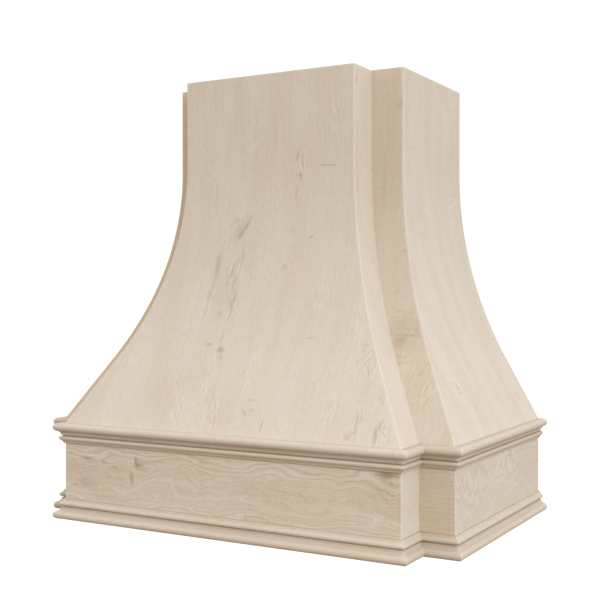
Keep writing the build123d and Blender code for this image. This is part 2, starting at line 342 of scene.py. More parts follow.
def end_columns(section, radius, rounded):
    """Distance from the corner and recess behind the face, for the columns beside one end.

    On a round of this radius, the column at angle a lies radius * (1 - sin a) from the corner and
    radius * (1 - cos a) behind the face, from 45 degrees on the mitre to 0 on the face.
    """
    if not rounded:
        return np.zeros((len(section), 1)), np.zeros((len(section), 1))
    angle = np.linspace(math.pi / 4, 0, ARRIS_STEPS)
    show = section[:, 2:3]
    on_mitre = radius * (1 - math.sqrt(0.5))
    distance = radius * (1 - np.sin(angle)) - on_mitre * (1 - show)
    return distance, radius * (1 - np.cos(angle)) * show


def swept(section, bay, radius, spacing):
    """Grid of points, row by section point and column along the run.

    A point is corner + out * slide + distance * along - recess * outward, at its section height.
    """
    out, height = section[:, 0:1], section[:, 1]
    start = bay["start"] + out * bay["start_slide"]
    end = bay["end"] + out * bay["end_slide"]
    length = ((end - start) @ bay["along"])[:, None]
    head, head_recess = end_columns(section, radius, bay["eased"][0])
    tail, tail_recess = end_columns(section, radius, bay["eased"][1])
    first, last = head[:, -1:], length - tail[:, -1:]
    share = np.linspace(0, 1, max(2, round(float(length.max()) / spacing)) + 1)[1:-1]
    distance = np.concatenate([head, first + (last - first) * share, (length - tail)[:, ::-1]], axis=1)
    middle = np.zeros((len(section), len(share)))
    recess = np.concatenate([head_recess, middle, tail_recess[:, ::-1]], axis=1)
    plan = start[:, None, :] + distance[..., None] * bay["along"] - recess[..., None] * bay["outward"]
    heights = np.broadcast_to(height[:, None, None], plan.shape[:2] + (1,))
    return np.concatenate([plan, heights], axis=2)


print("grid of the front board:", swept(board_section(), BAYS["front"], MM, ROW).shape[:2])

# %% [markdown]
# ## How the grain lies
#
# Veneer and boards are sheets with a grain, and two UV maps carry it in metres. `place` is the plain
# sheet: across the grain and along it. `grain` is the same sheet as the tree grew it: it strays
# sideways in long waves and parts around each knot. A knot is written where it lies on the sheet.

# %% Grain that strays and parts around knots
STRAY_WAVES = np.array([1.0, 2.3, 4.1])
STRAY_HEIGHTS = np.array([0.55, 0.30, 0.15])
STRAY_PHASES = np.array([0.4, 1.9, 5.1])
STRAY_WIDTH = 0.35  # metres across the grain in which the waves fall out of step


def strayed(place, reach, length):
    """Adds three sine waves along the sheet to the distance across it; each slips slowly across it."""
    across, along = place[..., 0:1], place[..., 1:2]
    turn = 2 * math.pi * (along / length + across / STRAY_WIDTH) * STRAY_WAVES + STRAY_PHASES
    shift = reach * (np.sin(turn) * STRAY_HEIGHTS).sum(axis=-1)
    return np.stack([place[..., 0] + shift, place[..., 1]], axis=-1)


def parted(grain, place, knots):
    """Pushes the grain aside at knots: across shrinks by `push` of its distance to the knot's middle,

    fading as exp(-(across / width)^2 - (along / length)^2), so the lines of grain bow around it.
    """
    across = grain[..., 0].copy()
    for knot_across, knot_along, width, length, push in knots:
        from_across = place[..., 0] - knot_across * MM
        from_along = place[..., 1] - knot_along * MM
        fade = np.exp(-(from_across / (width * MM)) ** 2 - (from_along / (length * MM)) ** 2)
        across -= push * from_across * fade
    return np.stack([across, grain[..., 1]], axis=-1)


print("the waves stray", sum(STRAY_HEIGHTS), "of their reach at most")

# %% Make a piece from its grid
TURNED_SHEET = np.array([-520 * MM, 770 * MM])  # less a place gives its place on the left-hand sheet
SMOOTH_BELOW = math.radians(32)


def closed(values):
    """The values of a section's points, with the first one once more where the section closes."""
    return np.concatenate([values, values[:1]])


def section_length(section):
    """Distance along the closed section from its first point to each point and back to the first."""
    sides = np.diff(closed(section)[:, :2], axis=0)
    return np.concatenate([[0], np.cumsum(np.linalg.norm(sides, axis=1))])


def sheet_maps(points, section, bay, grain_upright, turned):
    """Across and along the grain for each grid point, with one more row where the section closes."""
    run = closed(points)[..., bay["run_axis"]]
    length = np.broadcast_to(section_length(section)[:, None], run.shape)
    place = np.stack([run, length] if grain_upright else [length, run], axis=-1)
    return TURNED_SHEET - place if turned else place


def grid_faces(rows, columns):
    """Row and column of the four corners of each quad, from a section that closes on itself."""
    row, column = np.meshgrid(np.arange(rows), np.arange(columns - 1), indexing="ij")
    quad_rows = np.stack([row, row + 1, row + 1, row], axis=-1).reshape(-1, 4)
    quad_columns = np.stack([column, column, column + 1, column + 1], axis=-1).reshape(-1, 4)
    return quad_rows, quad_columns


def build_piece(name, points, section, maps, materials, mirrored):
    """A closed solid from a grid: quads around the section and a many-sided cap at each end.

    The three materials go to the show face and back, to the strips that join them, and to the caps.
    """
    rows, columns = points.shape[:2]
    quad_rows, quad_columns = grid_faces(rows, columns)
    if mirrored:
        points = points * (-1, 1, 1)
        quad_rows, quad_columns = quad_rows[:, ::-1], quad_columns[:, ::-1]
    quads = (quad_rows % rows) * columns + quad_columns
    loop = np.arange(rows) * columns
    caps = [loop[::-1], loop + columns - 1]
    if mirrored:
        caps = [cap[::-1] for cap in caps]
    mesh = bpy.data.meshes.new(name)
    faces = quads.tolist() + [cap.tolist() for cap in caps]
    mesh.from_pydata(points.reshape(-1, 3).tolist(), [], faces)
    for map_name, values in maps.items():
        flat = values.reshape(-1, 2)
        corners = [flat[(quad_rows * columns + quad_columns).ravel()], *(flat[cap] for cap in caps)]
        layer = mesh.uv_layers.new(name=map_name)
        layer.uv.foreach_set("vector", np.concatenate(corners).astype(np.float32).ravel())
    joins = np.abs(np.diff(closed(section[:, 2])))[quad_rows.min(axis=1)] > 0.5
    finish = np.concatenate([joins, [2, 2]]).astype(np.int32)
    for material in materials:
        mesh.materials.append(material)
    mesh.polygons.foreach_set("material_index", finish)
    mesh.polygons.foreach_set("use_smooth", np.ones(len(finish), bool))
    mesh.set_sharp_from_angle(angle=SMOOTH_BELOW)
    mesh.validate()
    piece = bpy.data.objects.new(name, mesh)
    bpy.context.scene.collection.objects.link(piece)
    return piece


print("the left-hand sheet is turned about", TURNED_SHEET / 2 / MM, "mm")

# %% [markdown]
# ## Helpers for materials
#
# Colours are picked as sRGB hex values, as a paint chart gives them, and Blender mixes light in
# linear values, so one function turns one into the other. A second one adds a node, sets it up and
# links it.

# %% Colour and node helpers
WOOD_IOR = 1.45
BLEND = {"data_type": "RGBA"}
TINT = {"data_type": "RGBA", "blend_type": "MULTIPLY"}


def linear(hex_colour):
    """sRGB hex to linear RGBA: v / 12.92 below 0.04045, else ((v + 0.055) / 1.055) ^ 2.4."""
    value = np.array([int(hex_colour[i:i + 2], 16) for i in (1, 3, 5)]) / 255
    rgb = np.where(value <= 0.04045, value / 12.92, ((value + 0.055) / 1.055) ** 2.4)
    return (*rgb.tolist(), 1.0)


def add_node(tree, kind, inputs, **settings):
    """Adds one node and gives its outputs. Inputs come as a list in the node's order, or by name.

    An input given as a socket is linked, and any other value is set on it.
    """
    node = tree.nodes.new(f"ShaderNode{kind}")
    for name, value in settings.items():
        setattr(node, name, value)
    for name, value in inputs.items() if isinstance(inputs, dict) else enumerate(inputs):
        if isinstance(value, bpy.types.NodeSocket):
            tree.links.new(value, node.inputs[name])
        else:
            node.inputs[name].default_value = value
    return node.outputs


def new_material(name, draw, *details):
    """A node material. `draw` adds the nodes with the helper that it gets, and returns the surface."""
    material = bpy.data.materials.new(name)
    material.use_nodes = True
    material.node_tree.nodes.clear()
    add = partial(add_node, material.node_tree)
    add("OutputMaterial", {"Surface": draw(add, *details)})
    return material


print("hardest white and a mid beige:", linear("#FFFFFF")[:3], linear("#CEBFAC")[:3])

# %% [markdown]
# ## Oak
#
# White oak that is sanded and left bare is a pale, dry beige. Short dark fibres and pores give it a
# fine upright streak, longer streaks and growth rings run through it, and whole boards drift between
# a yellow and a pink cast. The rings come from one-dimensional noise read along a warped distance
# across the grain, which gives unbroken lines and nests them into arches where the warp turns back.

# %% Noise and marks that follow the grain
THREAD_WIDTH = 2.6 * MM  # of the light and dark threads inside a mark
THREAD_LENGTH = 22 * MM
THREAD_LOW, THREAD_HIGH = 0.26, 0.74  # the noise seldom strays past these
THREAD_STEP = -0.61  # from one mark's slice of the noise to the next one's
FIGURE_RIM = 0.6  # share of an oval's radius in which a figure fades out
STAIN_RIM = 0.8


def grain_noise(add, vector, width, length, seed, detail):
    """Noise stretched along the grain: about width across and length along."""
    stretched = add("Mapping", {
        "Vector": vector,
        "Location": (seed, seed * 0.37, 0),
        "Scale": (1 / width, 1 / length, 1),
    })[0]
    noise = {"Vector": stretched, "Scale": 1.0, "Detail": detail}
    return add("TexNoise", noise, noise_dimensions="2D")["Fac"]


def marks_mask(add, vector, marks, signed):
    """Sum of soft ovals on the sheet, each broken into threads along its length by its thread share.

    Signed ovals carry light and dark threads that swing about zero; the others only darken.
    """
    total = 0.0
    for number, (across, along, width, length, tilt, strength, threads) in enumerate(marks):
        turned = {"Vector": vector, "Rotation": (0, 0, math.radians(tilt))}
        oval = add("Mapping", {
            **turned,
            "Location": (across * MM, along * MM, 0),
            "Scale": (width * MM / 2, length * MM / 2, 1),
        }, vector_type="TEXTURE")[0]
        fade = add("TexGradient", [oval], gradient_type="SPHERICAL")["Fac"]
        if threads:
            along_mark = add("Mapping", {
                **turned,
                "Location": (across * MM, along * MM, THREAD_STEP * number),
                "Scale": (THREAD_WIDTH, THREAD_LENGTH, 1),
            }, vector_type="TEXTURE")[0]
            noise = add("TexNoise", {"Vector": along_mark, "Scale": 1.0, "Detail": 1.0})["Fac"]
        if signed:
            swing = add("MapRange", [noise, THREAD_LOW, THREAD_HIGH, -1.0, 1.0])[0]
            core = add("MapRange", [fade, 0.0, FIGURE_RIM], interpolation_type="SMOOTHSTEP")[0]
            shape = add("Math", [core, swing], operation="MULTIPLY")[0]
        else:
            if threads:
                ends = THREAD_LOW, THREAD_HIGH, 1 - threads, 1 + threads
                broken = add("MapRange", [noise, *ends])[0]
                fade = add("Math", [fade, broken], operation="MULTIPLY")[0]
            shape = add("MapRange", [fade, 0.0, STAIN_RIM], interpolation_type="SMOOTHSTEP")[0]
        total = add("Math", [shape, strength, total], operation="MULTIPLY_ADD")[0]
    return total


# %% The oak material
ARRIS_HIGHLIGHT_AND_WEAR = "#F0E6D8"  # painted highlight along an eased arris, paler also where it is sanded down
HIGHLIGHT_AND_WEAR_SHARE = 0.18
DUST_AND_SHADE = "#C8B8A2"  # multiplied into the quirks, hollows and joint lines of the moulding: painted shade, darker also from dust where no sandpaper reaches
STAINS = {  # multiplied into the wood
    "red": "#B8978A",
    "brown": "#AF9C86",
    "amber": "#C2A077",
    "grey": "#ABA59D",
}
PORE_WIDTH = 1.8 * MM  # real pores are 0.3 mm wide; drawn wider so that they show
PORE_LENGTH = 9 * MM
PORE_LEVELS = 0.56, 0.76  # of the noise, from sound wood to an open pore
FIBRE_WIDTH = 2.3 * MM
FIBRE_LENGTH = 19 * MM
STREAK_WIDTH = 7 * MM
STREAK_LENGTH = 150 * MM
PATCH_WIDTH = 42 * MM
PATCH_LENGTH = 260 * MM
CAST_WIDTH = 1.3 * PATCH_WIDTH
CAST_LEVELS = 0.36, 0.64  # of the noise, from no cast to the full share
CAST_SHARE = 0.45
FIGURE_DEPTH = 0.34  # share of the way from light to dark that a thread of the figure swings
RELIEF = 0.12 * MM  # depth of the open grain after sanding
RELIEF_STRENGTH = 0.35
SANDED_ROUGHNESS = 0.66, 0.80  # of the light and of the dark wood
USUAL_LEVELS = 0.3, 0.7  # between which most of a noise lies


def oak(add, light, dark, cast, rings, weights, marks, seed):
    """Surface of sanded oak.

    rings is (drift width, drift length, drift reach, spacing) in millimetres. weights are those of
    rings, fibres, streaks, patches and pores in the mix of the light and the dark tone.
    """
    place = add("UVMap", [], uv_map="place")[0]
    grain = add("UVMap", [], uv_map="grain")[0]
    drift_width, drift_length, drift_reach, spacing = (value * MM for value in rings)
    drift = grain_noise(add, grain, drift_width, drift_length, seed, 2.0)
    across = add("SeparateXYZ", [grain])["X"]
    ring = add("Math", [drift, drift_reach, across], operation="MULTIPLY_ADD")[0]
    ring_count = add("Math", [ring, 1 / spacing], operation="MULTIPLY")[0]
    line_noise = {"W": ring_count, "Scale": 1.0, "Detail": 2.0, "Roughness": 0.6}
    lines = add("TexNoise", line_noise, noise_dimensions="1D")["Fac"]
    fibres = grain_noise(add, grain, FIBRE_WIDTH, FIBRE_LENGTH, seed + 3, 2.0)
    streaks = grain_noise(add, grain, STREAK_WIDTH, STREAK_LENGTH, seed + 5, 2.0)
    patches = grain_noise(add, grain, PATCH_WIDTH, PATCH_LENGTH, seed + 7, 2.0)
    pore_noise = grain_noise(add, grain, PORE_WIDTH, PORE_LENGTH, seed + 11, 1.0)
    pores = add("MapRange", [pore_noise, *PORE_LEVELS])[0]
    darkness = 0.5 - 0.5 * sum(weights[:4])  # so that even noise gives the middle tone
    for layer, weight in zip((lines, fibres, streaks, patches, pores), weights):
        darkness = add("Math", [layer, weight, darkness], operation="MULTIPLY_ADD")[0]
    if "figure" in marks:
        figure = marks_mask(add, place, marks["figure"], True)
        darkness = add("Math", [figure, FIGURE_DEPTH, darkness], operation="MULTIPLY_ADD")[0]
    colour = add("Mix", {0: darkness, 6: linear(light), 7: linear(dark)}, **BLEND)[2]
    cast_noise = grain_noise(add, place, CAST_WIDTH, PATCH_LENGTH, seed + 23, 1.0)
    cast_here = add("MapRange", [cast_noise, *CAST_LEVELS, 0.0, CAST_SHARE])[0]
    colour = add("Mix", {0: cast_here, 6: colour, 7: linear(cast)}, **TINT)[2]
    for kind, stain in STAINS.items():
        if kind in marks:
            mask = marks_mask(add, place, marks[kind], False)
            mask = add("Math", [mask, 1.0], operation="MINIMUM")[0]
            colour = add("Mix", {0: mask, 6: colour, 7: linear(stain)}, **TINT)[2]
    # painted highlight on arrises, partly sanded wear, and painted shade in moulding corners, partly
    # dust
    wear_dust_and_painted_light = add("UVMap", [], uv_map="wear_dust_and_painted_light")[0]
    highlight_and_wear, dust_and_shade, _ = add("SeparateXYZ", [wear_dust_and_painted_light])
    highlight_and_wear = add("Math", [highlight_and_wear, HIGHLIGHT_AND_WEAR_SHARE], operation="MULTIPLY")[0]
    colour = add("Mix", {0: highlight_and_wear, 6: colour, 7: linear(ARRIS_HIGHLIGHT_AND_WEAR)}, **BLEND)[2]
    colour = add("Mix", {0: dust_and_shade, 6: colour, 7: linear(DUST_AND_SHADE)}, **TINT)[2]
    open_grain = {"Strength": RELIEF_STRENGTH, "Distance": RELIEF, "Height": darkness}
    return add("BsdfPrincipled", {
        "Base Color": colour,
        "Roughness": add("MapRange", [darkness, *USUAL_LEVELS, *SANDED_ROUGHNESS])[0],
        "IOR": WOOD_IOR,
        "Normal": add("Bump", open_grain, invert=True)[0],
    })[0]


# %% [markdown]
# ## The marks of this tree
#
# Rustic oak is chosen for its character: small knots, reddish streaks where the tree healed, a
# hairline across the grain and patches of curly figure. Each bracket below is one mark on the sheet:
# across and along its place in millimetres, its width and length, its tilt in degrees, its strength,
# and how much of it is threads. A stain only darkens the wood, and a figure swings between light and
# dark threads. A knot for the grain to part around is its place, width and length, and how far it
# pushes the grain.

# %% Marks on the body panels
FRONT_MARKS = {
    "red": [
        (-52, 577, 27, 22, 20, 0.4, 0.4), (-48, 593, 17, 24, 0, 0.24, 1),
        (-84, 565, 32, 13, 4, 0.26, 0), (-103, 392, 13, 76, 4, 0.16, 0.8),
        (-110, 462, 15, 60, 6, 0.14, 0.7), (-77, 500, 22, 34, 0, 0.14, 0.8),
        (-75, 440, 70, 190, 6, 0.06, 0), (-112, 500, 12, 60, 8, 0.1, 0.8),
        (60, 399, 18, 15, 0, 0.16, 0.3), (112, 338, 14, 7, 0, 0.42, 0), (90, 733, 4.5, 46, 3, 0.43, 0),
        (276, 739, 36, 30, 88, 0.14, 1), (332, 716, 20, 30, 0, 0.26, 1), (323, 661, 13, 46, -8, 0.2, 1),
        (78, 213, 24, 5, 0, 0.25, 0.6), (-18, 360, 60, 180, 4, 0.06, 0),
    ],
    "brown": [
        (-102, 402, 34, 150, 6, 0.08, 0.6), (-52, 320, 36, 90, 24, 0.1, 0.6),
        (-54, 450, 30, 120, 8, 0.11, 0.6), (-42, 311, 12, 66, 31, 0.33, 0.8),
        (-56, 331, 12, 26, 24, 0.26, 0.8), (-61, 322, 30, 44, 24, 0.14, 1),
        (-101, 400, 13, 90, 3, 0.18, 0.8), (-106, 440, 9, 60, 8, 0.1, 0.9),
        (-49, 477, 12, 84, 7, 0.27, 0.9), (-45, 380, 8, 90, 3, 0.22, 1),
        (-62, 412, 20, 76, 15, 0.22, 1), (73, 172, 8, 40, 14, 0.35, 0.6),
        (84, 186, 7, 46, -4, 0.35, 0.5), (80, 214, 10, 26, 0, 0.32, 1), (70, 245, 8, 80, -3, 0.2, 1),
        (146, 196, 46, 3.6, 2, 0.44, 0.2), (130, 195, 22, 4.2, 3, 0.36, 0),
        (52, 681, 22, 7, 0, 0.26, 0.5), (44, 706, 26, 10, 42, 0.22, 1), (146, 546, 24, 7, -3, 0.3, 0),
        (325, 736, 13, 60, -4, 0.37, 0.3), (284, 722, 6, 80, -5, 0.3, 0.8),
        (200, 300, 90, 260, 0, 0.05, 0), (-170, 690, 60, 160, 0, 0.07, 0.4),
    ],
    "grey": [
        (60, 700, 8, 7, 0, 0.49, 0), (-120, 250, 12, 90, 0, 0.14, 1), (20, 120, 14, 120, 0, 0.12, 1),
        (-56, 552, 8, 50, 4, 0.22, 1),
    ],
    "figure": [
        (-74, 306, 34, 74, 21, 1.3, 1), (-88, 350, 24, 70, 14, 0.7, 1), (-62, 414, 40, 100, 14, 1.3, 1),
        (-108, 470, 34, 100, 8, 1.1, 1), (-44, 380, 18, 120, 4, 0.7, 1), (-50, 490, 26, 90, 6, 1.2, 1),
        (-56, 556, 26, 60, 3, 0.7, 1), (78, 190, 30, 76, 2, 0.9, 1), (77, 245, 20, 90, -2, 0.6, 1),
        (68, 335, 16, 120, -5, 0.6, 1), (-66, 640, 40, 120, -19, 0.8, 1),
        (-30, 706, 60, 110, -18, 0.8, 1), (-120, 690, 60, 120, -10, 0.6, 1),
        (-50, 592, 34, 40, 40, 0.9, 1), (46, 702, 36, 30, 50, 0.6, 1), (268, 588, 40, 56, 34, 1.2, 1),
        (288, 606, 30, 60, -12, 1.1, 1), (272, 568, 40, 30, 48, 0.9, 1), (276, 739, 44, 30, 86, 1.1, 1),
        (334, 716, 26, 34, 25, 1.1, 1), (340, 734, 30, 40, -40, 1, 1), (286, 700, 30, 90, -4, 0.8, 1),
        (325, 668, 34, 60, -20, 0.8, 1), (180, 640, 70, 120, -6, 0.45, 1),
        (225, 690, 60, 100, 10, 0.5, 1), (-150, 560, 50, 140, 6, 0.5, 1),
        (140, 470, 60, 120, 2, 0.45, 1), (245, 520, 50, 110, -8, 0.5, 1), (30, 620, 50, 110, 4, 0.5, 1),
        (-20, 130, 60, 150, 0, 0.45, 1), (160, 110, 50, 140, 0, 0.5, 1),
        (-140, 180, 40, 160, 3, 0.5, 1),
    ],
}
FRONT_KNOTS = [
    (-52, 577, 22, 30, 0.75), (-83, 564, 16, 18, 0.5), (60, 700, 14, 22, 0.6), (-46, 315, 20, 60, 0.5),
    (77, 205, 16, 60, 0.45), (146, 546, 12, 16, 0.4), (325, 730, 24, 46, 0.5),
]
RETURN_MARKS = {
    "red": [(-379, 32, 20, 26, 0, 0.26, 0.3), (-378, 235, 12, 18, 0, 0.18, 0.5)],
    "figure": [(-350, 500, 60, 200, 0, 0.5, 1), (-360, 150, 40, 160, 0, 0.4, 1)],
}
STRIP_MARKS = {
    "red": [(300, 549, 34, 11, 6, 0.18, 0.4), (316, 570, 80, 90, 0, 0.06, 0.2)],
    "brown": [
        (308, 540, 76, 5, 2, 0.24, 0.3), (331, 534, 34, 10, 48, 0.13, 1),
        (312, 520, 100, 90, 0, 0.05, 0), (296, 556, 40, 34, 0, 0.16, 0.3),
        (280, 368, 19, 6, 0, 0.34, 0), (273, 449, 22, 4, 0, 0.22, 0), (228, 230, 12, 200, 0, 0.1, 0.5),
    ],
    "amber": [(312, 530, 110, 120, 0, 0.12, 0.2), (318, 542, 60, 12, 3, 0.12, 0.8)],
    "grey": [(262, 75, 32, 26, 0, 0.16, 0.4)],
    "figure": [
        (346, 622, 56, 110, 28, 0.8, 1), (312, 592, 56, 44, 86, 0.9, 1), (372, 660, 60, 80, 24, 0.8, 1),
        (328, 538, 44, 40, 50, 0.8, 1), (272, 449, 40, 44, 88, 0.6, 1), (300, 500, 70, 80, 80, 0.6, 1),
        (260, 90, 40, 60, 84, 0.4, 1), (400, 725, 60, 90, 10, 0.5, 1),
    ],
}
SIDE_MARKS = {
    "red": [(-346, 655, 18, 34, 0, 0.22, 0.5)],
    "brown": [
        (-347, 665, 9, 9, 0, 0.42, 0), (-346, 648, 16, 34, 4, 0.16, 0.9),
        (-309, 700, 5, 44, -3, 0.5, 0), (-117, 700, 5, 40, -10, 0.26, 0.4),
        (-60, 694, 5, 36, 0, 0.24, 0.4), (-261, 157, 24, 7, 8, 0.24, 0.2), (-70, 49, 9, 13, 0, 0.42, 0),
    ],
    "grey": [(-250, 506, 11, 10, 0, 0.34, 0), (-287, 303, 9, 8, 0, 0.24, 0)],
    "figure": [
        (-64, 148, 80, 70, 66, 1.1, 1), (-52, 240, 50, 100, 58, 1.1, 1),
        (-346, 655, 34, 60, 10, 0.9, 1), (-320, 690, 40, 70, -3, 0.6, 1),
        (-230, 420, 90, 140, 0, 0.4, 1), (-150, 600, 90, 140, -6, 0.5, 1),
        (-60, 700, 60, 80, 0, 0.6, 1), (-90, 60, 60, 90, 70, 0.6, 1),
    ],
}
SIDE_KNOTS = [(-70, 49, 12, 26, 0.6), (-60, 200, 40, 90, 0.5), (-346, 657, 20, 50, 0.6)]
print("marks on the front panel:", sum(len(marks) for marks in FRONT_MARKS.values()))

# %% Marks on the apron boards and in the mouldings
APRON_MARKS = {
    "red": [
        (69, -194, 34, 16, 4, 0.44, 0.2), (73, -186, 17, 24, 0, 0.36, 0.3),
        (69, -320, 10, 56, 2, 0.5, 0.6), (101, -206, 38, 16, 4, 0.16, 0),
        (120, -320, 34, 80, 0, 0.16, 0.9), (47, 358, 17, 70, 0, 0.62, 0.4),
        (76, 350, 90, 90, 0, 0.1, 0.4), (74, -178, 30, 50, 0, 0.14, 0.6),
    ],
    "brown": [
        (66, -196, 24, 10, 4, 0.27, 0.3), (101, -206, 36, 15, 4, 0.29, 0.1),
        (74, -274, 9, 50, -5, 0.42, 0.7), (82, -248, 6, 26, -6, 0.34, 0.8),
        (126, -352, 6, 34, 0, 0.34, 0.7), (64, 362, 16, 14, 0, 0.2, 0.4),
        (106, 384, 120, 26, 0, 0.34, 0.7), (85, -330, 40, 110, 0, 0.14, 0.9),
    ],
    "figure": [
        (74, -165, 60, 60, 8, 0.8, 1), (84, 352, 70, 60, -40, 0.6, 1), (130, 340, 60, 90, -20, 0.4, 1),
    ],
}
APRON_KNOTS = [
    (69, -194, 24, 34, 0.75), (101, -206, 22, 26, 0.6), (70, -300, 20, 70, 0.5),
    (52, 352, 40, 50, 0.65), (95, -60, 34, 120, 0.55), (60, 90, 26, 90, 0.45), (120, 200, 28, 80, 0.45),
]
APRON_SIDE_KNOTS = [(70, -420, 44, 70, 0.7), (60, -250, 40, 90, 0.7), (110, -120, 36, 80, 0.6)]
BUTT_SEAMS = {"brown": [(22, along, 90, 1.8, 0, 0.45, 0.0) for along in (66, -180, 372)]}
print("marks on the front apron board:", sum(len(marks) for marks in APRON_MARKS.values()))

# %% Oak for each kind of board
BODY_WEIGHTS = (0.18, 0.38, 0.15, 0.13, 0.18)
FIGURED_WEIGHTS = (0.80, 0.34, 0.16, 0.16, 0.18)
ARCHED_WEIGHTS = (0.74, 0.30, 0.15, 0.14, 0.16)
QUIET_WEIGHTS = (0.48, 0.34, 0.16, 0.14, 0.18)
PINK = "#FBF2EE"
YELLOW = "#FBF3E4"
SHEETS = {  # light and dark tone, cast, rings, weights, marks and seed
    "front": ("#E7DED2", "#C1B39F", PINK, (70, 520, 20, 3.4), BODY_WEIGHTS, FRONT_MARKS, 1.0),
    "return": ("#DDD5CB", "#BFB2A2", PINK, (60, 600, 12, 3.4), BODY_WEIGHTS, RETURN_MARKS, 14.0),
    "strip": ("#DDD4C6", "#BBAB97", YELLOW, (50, 420, 16, 3.0), BODY_WEIGHTS, STRIP_MARKS, 27.0),
    # the left strip's copy is yellower and more saturated: painted warm shade of its recess on the
    # shaded side
    "left_strip": ("#DFD1B9", "#BDA88C", YELLOW, (50, 420, 16, 3.0), BODY_WEIGHTS, STRIP_MARKS, 33.0),
    "side": ("#DBD4C9", "#BCAF9F", PINK, (80, 500, 26, 3.6), BODY_WEIGHTS, SIDE_MARKS, 41.0),
    "apron_front": ("#EBE1D2", "#BEAD97", PINK, (56, 150, 80, 7.0), FIGURED_WEIGHTS, APRON_MARKS, 55.0),
    "apron_return": ("#E0DAD2", "#C4B8AA", PINK, (50, 260, 14, 3.0), BODY_WEIGHTS, {}, 63.0),
    "apron_strip": ("#E0D4C4", "#B9A58F", YELLOW, (60, 300, 10, 3.6), QUIET_WEIGHTS, {}, 71.0),
    "apron_side": ("#DDD6CB", "#BBAD9D", PINK, (200, 64, 200, 12.0), ARCHED_WEIGHTS, {}, 86.0),
    "front_moulding": ("#E1D7C9", "#C3B39F", PINK, (60, 420, 10, 3.2), BODY_WEIGHTS, BUTT_SEAMS, 97.0),
    "side_moulding": ("#D6CEC0", "#B9AB97", PINK, (60, 420, 10, 3.2), BODY_WEIGHTS, {}, 113.0),
}
OAKS = {key: new_material(f"sanded_oak_{key}", oak, *sheet) for key, sheet in SHEETS.items()}
print("oak materials:", len(OAKS))

# %% [markdown]
# ## Cut edges
#
# Where a curved panel is sawn off, its plies show as fine stripes, because it was pressed from thin
# veneers over a form. A sawn end of solid oak shows the ends of its pores instead. The UV map `edge`
# holds the depth below the show face, so the stripes follow the curve of the panel.

# %% Edge of a bent plywood panel
PANEL_PLIES = 9
SANDED_OFF = 0.3  # share of each outer ply that is sanded away
PLY_LIGHT = "#D9C6A6"
PLY_DARK = "#B2946C"
GLUE_LINE = "#8A6B48"
PLY_STOPS = (0.44, PLY_LIGHT), (0.49, GLUE_LINE), (0.54, PLY_DARK), (0.94, PLY_DARK)
FUZZ_WIDTH = 0.5 * MM  # of the torn fibres that a saw leaves
FUZZ_LENGTH = 6 * MM
SAW_RELIEF = 0.2 * MM


def ply_stripes(add, depth, plies):
    """Colour of alternate plies with thin glue lines; depth runs from 0 to 1 through the sheet."""
    share = [depth, plies - 2 * SANDED_OFF, SANDED_OFF]
    count = add("Math", share, operation="MULTIPLY_ADD")[0]
    half = add("Math", [count, 0.5], operation="MULTIPLY")[0]
    pair = add("Math", [half], operation="FRACT")[0]
    colour = add("ValToRGB", [pair])["Color"]
    stops = colour.node.color_ramp.elements
    for stop, position, ply in zip(stops, (0.0, 1.0), (PLY_LIGHT, GLUE_LINE)):
        stop.position = position
        stop.color = linear(ply)
    for position, ply in PLY_STOPS:
        stops.new(position).color = linear(ply)
    return colour


def panel_edge(add):
    """Striped edge of the curved panels, rougher than their face."""
    edge = add("UVMap", [], uv_map="edge")[0]
    depth = add("SeparateXYZ", [edge])["X"]
    share = add("Math", [depth, 1 / SKIN], operation="MULTIPLY")[0]
    stripes = ply_stripes(add, share, PANEL_PLIES)
    fuzz = grain_noise(add, edge, FUZZ_WIDTH, FUZZ_LENGTH, 5.0, 3.0)
    grey = add("CombineColor", [fuzz, fuzz, fuzz])[0]
    fuzzy = {"data_type": "RGBA", "blend_type": "SOFT_LIGHT"}
    return add("BsdfPrincipled", {
        "Base Color": add("Mix", {0: 0.5, 6: stripes, 7: grey}, **fuzzy)[2],
        "Roughness": 0.85,
        "IOR": WOOD_IOR,
        "Normal": add("Bump", {"Strength": 0.4, "Distance": SAW_RELIEF, "Height": fuzz})[0],
    })[0]


PANEL_EDGE = new_material("bent_plywood_edge", panel_edge)
print("edge of the panels:", PANEL_EDGE.name, "with", PANEL_PLIES, "plies")

# %% End grain of solid oak
END_RING = 4 * MM
PORE_GRIT = 1.1 * MM
HEART = (0.30, 0.0, -0.06)  # the middle of the tree, a little below the cover


def end_grain(add):
    """Sawn end of a board: ring arcs about a far centre, and open pores as dark specks."""
    spot = add("TexCoord", [])["Object"]
    heart = add("VectorMath", [spot, HEART], operation="SUBTRACT")[0]
    radius = add("VectorMath", [heart], operation="LENGTH")["Value"]
    ring_count = add("Math", [radius, 1 / END_RING], operation="MULTIPLY")[0]
    ring_noise = {"W": ring_count, "Scale": 1.0, "Detail": 2.0}
    rings = add("TexNoise", ring_noise, noise_dimensions="1D")["Fac"]
    pores = add("TexNoise", {"Vector": spot, "Scale": 1 / PORE_GRIT, "Detail": 2.0})["Fac"]
    half_rings = add("Math", [rings, 0.5], operation="MULTIPLY")[0]
    share = add("Math", [pores, 0.6, half_rings], operation="MULTIPLY_ADD")[0]
    tones = {0: share, 6: linear("#D2BF9F"), 7: linear("#98805F")}
    open_pores = {"Strength": 0.5, "Distance": SAW_RELIEF, "Height": share}
    return add("BsdfPrincipled", {
        "Base Color": add("Mix", tones, **BLEND)[2],
        "Roughness": 0.88,
        "IOR": WOOD_IOR,
        "Normal": add("Bump", open_pores, invert=True)[0],
    })[0]


END_GRAIN = new_material("oak_end_grain", end_grain)
print("sawn ends of the boards:", END_GRAIN.name)
